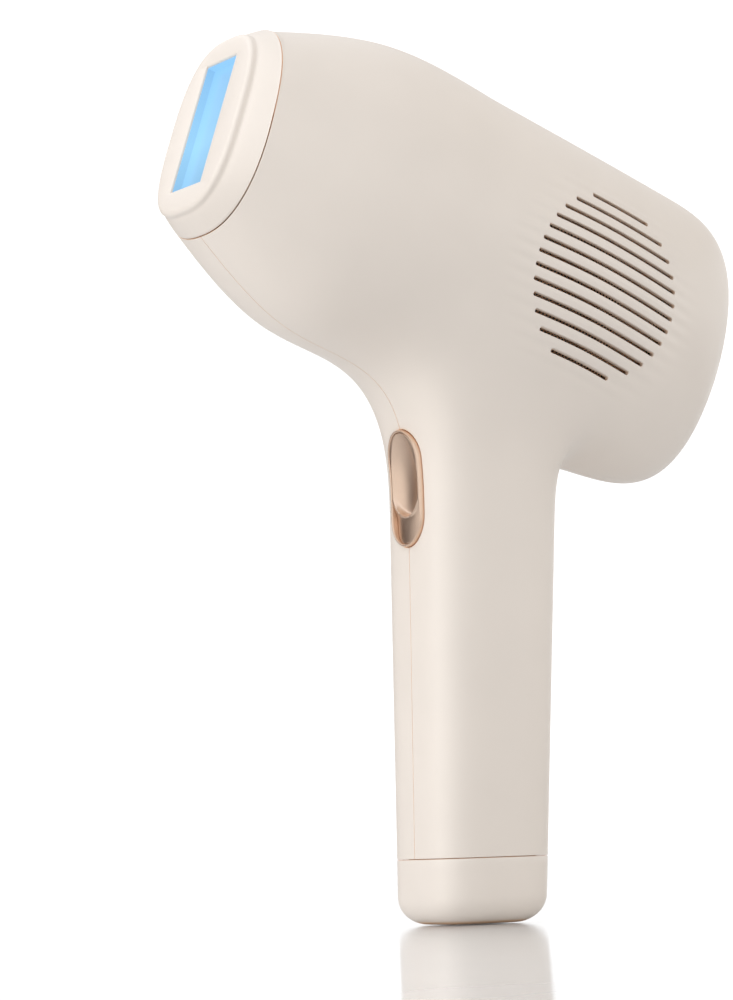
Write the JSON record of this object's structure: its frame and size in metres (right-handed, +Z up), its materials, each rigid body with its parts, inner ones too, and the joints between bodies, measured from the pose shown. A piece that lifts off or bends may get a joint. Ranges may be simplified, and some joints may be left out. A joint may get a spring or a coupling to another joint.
{
  "type": "ipl hair remover",
  "caption": "Hand-held flash-lamp hair remover with a tilted head, upright handle, blue-lit window in a pull-off lamp head, slotted side vents and a rose-gold flash button.",
  "frame": {"origin": "centre of the flat base that the handle stands on", "axes": "+Z up along the handle, -X towards the lamp window, Y across, Y = 0 the plane of symmetry of the casing"},
  "size_m": [0.1512, 0.0714, 0.2146],
  "materials": {
    "ivory_plastic": "satin, fine moulded grain",
    "rose_gold": "satin rose-gold plating over plastic",
    "filter_glass": "polished, pale blue glow",
    "bright_reflector": "polished",
    "white_ceramic": "unglazed, matt",
    "black_plastic": "fine matt",
    "grey_plastic": "satin",
    "smoked_lens": "polished, dark",
    "contact_brass": "bright",
    "fin_aluminium": "extruded, satin",
    "screw_steel": "plated",
    "board_green": "solder resist, satin",
    "coil_copper": "taped copper winding",
    "capacitor_sleeve": "shrink sleeve, glossy"
  },
  "bodies": {
    "body": {"left_shell": "ivory_plastic", "right_shell": "ivory_plastic", "bottom_cap": "ivory_plastic", "rear_panel": "ivory_plastic", "display_lens": "smoked_lens", "power_switch": "black_plastic", "control_board": "board_green", "contact_socket": "black_plastic", "heat_sink": "fin_aluminium", "fan_frame": "black_plastic", "fan_screw_1": "screw_steel", "fan_screw_2": "screw_steel", "fan_screw_3": "screw_steel", "fan_screw_4": "screw_steel", "left_vent_screen": "rose_gold", "right_vent_screen": "rose_gold", "button_bezel": "rose_gold", "trigger_switch": "black_plastic", "button_board": "board_green", "main_board": "board_green", "trigger_coil": "coil_copper", "store_capacitor": "capacitor_sleeve", "dc_inlet": "black_plastic"},
    "lamp_head": {"nose_cover": "ivory_plastic", "window_glass": "filter_glass", "reflector": "bright_reflector", "flash_lamp": "filter_glass", "lamp_holder_upper": "white_ceramic", "lamp_holder_lower": "white_ceramic", "lamp_frame": "black_plastic", "contact_pin_upper": "contact_brass", "contact_pin_lower": "contact_brass"},
    "fan": {"fan_rotor": "grey_plastic", "fan_shaft": "screw_steel"},
    "flash_button": {"flash_button": "rose_gold", "trigger_plunger": "grey_plastic"},
    "power_button": {"power_button": "rose_gold"}
  },
  "joints": [
    {"name": "lamp_head_slide", "type": "slide", "parent": "body", "child": "lamp_head", "axis": [-0.9461, 0, 0.3239], "range_m": [0, 0.035]},
    {"name": "fan_spin", "type": "hinge", "parent": "body", "child": "fan", "pos_m": [0.02583, 0, 0.15229], "axis": [0, 1, 0], "continuous": true},
    {"name": "flash_button_press", "type": "slide", "parent": "body", "child": "flash_button", "axis": [1, 0, 0], "range_m": [0, 0.0012], "stiffness_N_per_m": 1500, "springref_m": -0.0008},
    {"name": "power_button_press", "type": "slide", "parent": "body", "child": "power_button", "axis": [-0.9461, 0, 0.3239], "range_m": [0, 0.0008], "stiffness_N_per_m": 1500, "springref_m": -0.0008}
  ]
}
